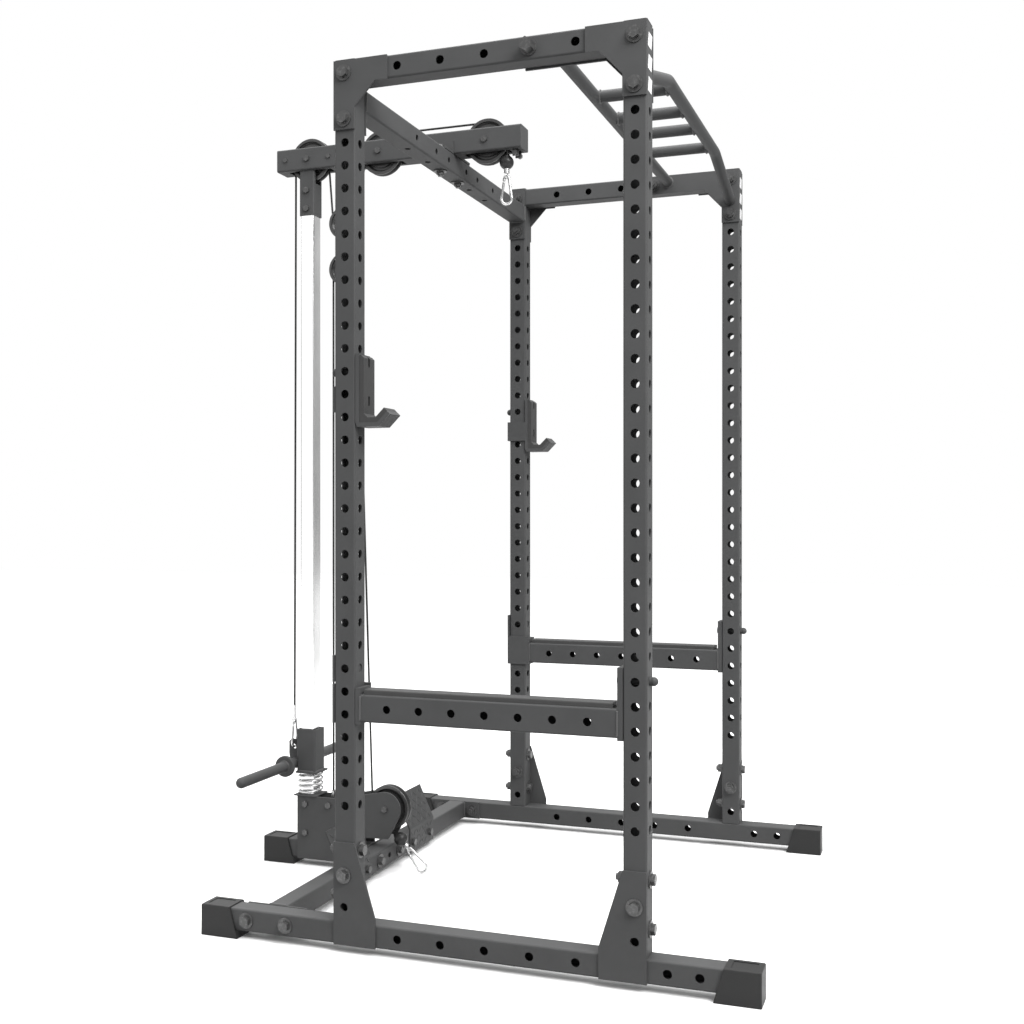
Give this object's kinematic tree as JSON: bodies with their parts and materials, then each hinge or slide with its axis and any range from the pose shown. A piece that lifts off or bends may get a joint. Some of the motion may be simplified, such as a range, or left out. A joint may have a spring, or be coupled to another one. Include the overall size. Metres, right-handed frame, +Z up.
{
  "type": "power cage",
  "caption": "Steel power cage with lined bar rests, swing-down safety bars, multi-grip pull-up bars and a plate-loaded lat and low-row cable tower on the rear.",
  "frame": {"origin": "on the floor, under the centre of the footprint", "axes": "+X to the user's right when facing the tower from the front, +Y from the pull-up bars towards the cable tower, +Z up"},
  "size_m": [1.24, 1.445, 1.987],
  "materials": {
    "powder_coat": "fine-textured matt powder coat",
    "moulded_plastic": "moulded, lightly grained",
    "liner_plastic": "smooth satin liner plastic",
    "black_fasteners": "black oxide",
    "chrome_column": "bright plated",
    "zinc_hardware": "bright zinc",
    "wheel_plastic": "black nylon",
    "cable_jacket": "black nylon jacket"
  },
  "bodies": {
    "frame": {"base_rail_left": "powder_coat", "base_rail_right": "powder_coat", "buffer_spring": "zinc_hardware", "cable_anchor": "zinc_hardware", "cable_fixed_turns": "cable_jacket", "cable_stop": "black_fasteners", "column_sleeve": "powder_coat", "corner_plates": "powder_coat", "floor_crossmember": "powder_coat", "foot_caps": "moulded_plastic", "foot_gussets": "powder_coat", "foot_plates": "powder_coat", "frame_bolts": "black_fasteners", "grip_side_plates": "powder_coat", "guide_column": "chrome_column", "lat_arm": "powder_coat", "multi_grip_bar": "powder_coat", "rear_top_crossmember": "powder_coat", "top_beam_left": "powder_coat", "top_beam_right": "powder_coat", "tower_base": "powder_coat", "tower_bolts": "black_fasteners", "tower_side_plates": "powder_coat", "tube_end_plugs": "moulded_plastic", "upright_front_left": "powder_coat", "upright_front_right": "powder_coat", "upright_rear_left": "powder_coat", "upright_rear_right": "powder_coat"},
    "lat_stop": {"ball_stop_lat": "moulded_plastic", "snap_hook_lat": "zinc_hardware", "cable_lat_run": "cable_jacket"},
    "lat_gate": {"gate_lat": "zinc_hardware"},
    "row_stop": {"ball_stop_row": "moulded_plastic", "snap_hook_row": "zinc_hardware", "cable_row_run": "cable_jacket"},
    "row_gate": {"gate_row": "zinc_hardware"},
    "carriage": {"weight_carriage": "powder_coat", "weight_horns": "powder_coat", "carriage_glides": "moulded_plastic", "snap_hook_carriage": "zinc_hardware", "cable_carriage_run": "cable_jacket"},
    "carriage_gate": {"gate_carriage": "zinc_hardware"},
    "floating_block": {"float_block": "powder_coat", "cable_block_turns": "cable_jacket", "cable_block_high_runs": "cable_jacket", "cable_block_low_runs": "cable_jacket"},
    "wheel_front": {"wheel_front": "wheel_plastic"},
    "wheel_middle": {"wheel_middle": "wheel_plastic"},
    "wheel_rear": {"wheel_rear": "wheel_plastic"},
    "wheel_float_high": {"wheel_float_high": "wheel_plastic"},
    "wheel_float_low": {"wheel_float_low": "wheel_plastic"},
    "wheel_low": {"wheel_low": "wheel_plastic"},
    "j_hook_left": {"j_hook_left": "powder_coat", "j_hook_pad_left": "liner_plastic"},
    "safety_bar_left": {"safety_bar_left": "powder_coat", "safety_pad_left": "liner_plastic"},
    "j_hook_right": {"j_hook_right": "powder_coat", "j_hook_pad_right": "liner_plastic"},
    "safety_bar_right": {"safety_bar_right": "powder_coat", "safety_pad_right": "liner_plastic"}
  },
  "joints": [
    {"name": "carriage_slide", "type": "slide", "parent": "frame", "child": "carriage", "axis": [0, 0, 1], "range_m": [0, 1.35], "deforming": ["cable_carriage_run"]},
    {"name": "lat_slide", "type": "slide", "parent": "frame", "child": "lat_stop", "axis": [0, 0, -1], "range_m": [0, 1.35], "deforming": ["cable_lat_run"]},
    {"name": "wheel_front_spin", "type": "hinge", "parent": "frame", "child": "wheel_front", "pos_m": [0, 0.0695, 1.928], "axis": [1, 0, 0], "range_deg": [0, 1600]},
    {"name": "wheel_middle_spin", "type": "hinge", "parent": "frame", "child": "wheel_middle", "pos_m": [0, 0.3735, 1.928], "axis": [1, 0, 0], "range_deg": [0, 1600]},
    {"name": "wheel_rear_spin", "type": "hinge", "parent": "frame", "child": "wheel_rear", "pos_m": [0, 0.5879, 1.928], "axis": [1, 0, 0], "range_deg": [0, 1600]},
    {"name": "wheel_float_high_spin", "type": "hinge", "parent": "floating_block", "child": "wheel_float_high", "pos_m": [0, 0.4865, 1.749], "axis": [1, 0, 0], "range_deg": [-2250, 0]},
    {"name": "block_slide", "type": "slide", "parent": "frame", "child": "floating_block", "axis": [0, 0, -1], "range_m": [0, 0.5], "deforming": ["cable_block_high_runs", "cable_block_low_runs"]},
    {"name": "wheel_float_low_spin", "type": "hinge", "parent": "floating_block", "child": "wheel_float_low", "pos_m": [0, 0.4865, 1.624], "axis": [1, 0, 0], "range_deg": [0, 850]},
    {"name": "wheel_low_spin", "type": "hinge", "parent": "frame", "child": "wheel_low", "pos_m": [0, 0.3535, 0.171], "axis": [1, 0, 0], "range_deg": [-1200, 0]},
    {"name": "row_slide", "type": "slide", "parent": "frame", "child": "row_stop", "axis": [0, -1, 0], "range_m": [0, 1], "deforming": ["cable_row_run"]},
    {"name": "carriage_gate_hinge", "type": "hinge", "parent": "carriage", "child": "carriage_gate", "pos_m": [-0.00799, 0.6425, 0.37268], "axis": [0, -1, 0], "range_deg": [0, 24], "stiffness_Nm_per_rad": 0.02, "springref_deg": -20.05},
    {"name": "lat_gate_hinge", "type": "hinge", "parent": "lat_stop", "child": "lat_gate", "pos_m": [0, 0.02699, 1.81868], "axis": [-1, 0, 0], "range_deg": [0, 24], "stiffness_Nm_per_rad": 0.02, "springref_deg": -20.05},
    {"name": "row_gate_hinge", "type": "hinge", "parent": "row_stop", "child": "row_gate", "pos_m": [0, 0.29351, 0.04603], "axis": [-1, 0, 0], "range_deg": [0, 24], "stiffness_Nm_per_rad": 0.02, "springref_deg": -20.05},
    {"name": "j_hook_left_turn", "type": "hinge", "parent": "frame", "child": "j_hook_left", "pos_m": [-0.568, 0.1805, 1.27], "axis": [0, -1, 0], "range_deg": [0, 90]},
    {"name": "safety_bar_left_turn", "type": "hinge", "parent": "frame", "child": "safety_bar_left", "pos_m": [-0.568, -0.1445, 0.62], "axis": [0, -1, 0], "range_deg": [0, 90]},
    {"name": "j_hook_right_turn", "type": "hinge", "parent": "frame", "child": "j_hook_right", "pos_m": [0.568, 0.1805, 1.27], "axis": [0, 1, 0], "range_deg": [0, 90]},
    {"name": "safety_bar_right_turn", "type": "hinge", "parent": "frame", "child": "safety_bar_right", "pos_m": [0.568, -0.1445, 0.62], "axis": [0, 1, 0], "range_deg": [0, 90]}
  ],
  "couplings": [
    {"joint": "lat_slide", "follows": "carriage_slide", "ratio": 1},
    {"joint": "wheel_front_spin", "follows": "carriage_slide", "rad_per_m": 19.802},
    {"joint": "wheel_middle_spin", "follows": "carriage_slide", "rad_per_m": 19.802},
    {"joint": "wheel_rear_spin", "follows": "carriage_slide", "rad_per_m": 19.802},
    {"joint": "wheel_float_high_spin", "follows": "carriage_slide", "rad_per_m": -27.778},
    {"joint": "wheel_float_low_spin", "follows": "block_slide", "rad_per_m": 27.778},
    {"joint": "wheel_low_spin", "follows": "block_slide", "rad_per_m": -39.604},
    {"joint": "row_slide", "follows": "block_slide", "ratio": 2}
  ]
}
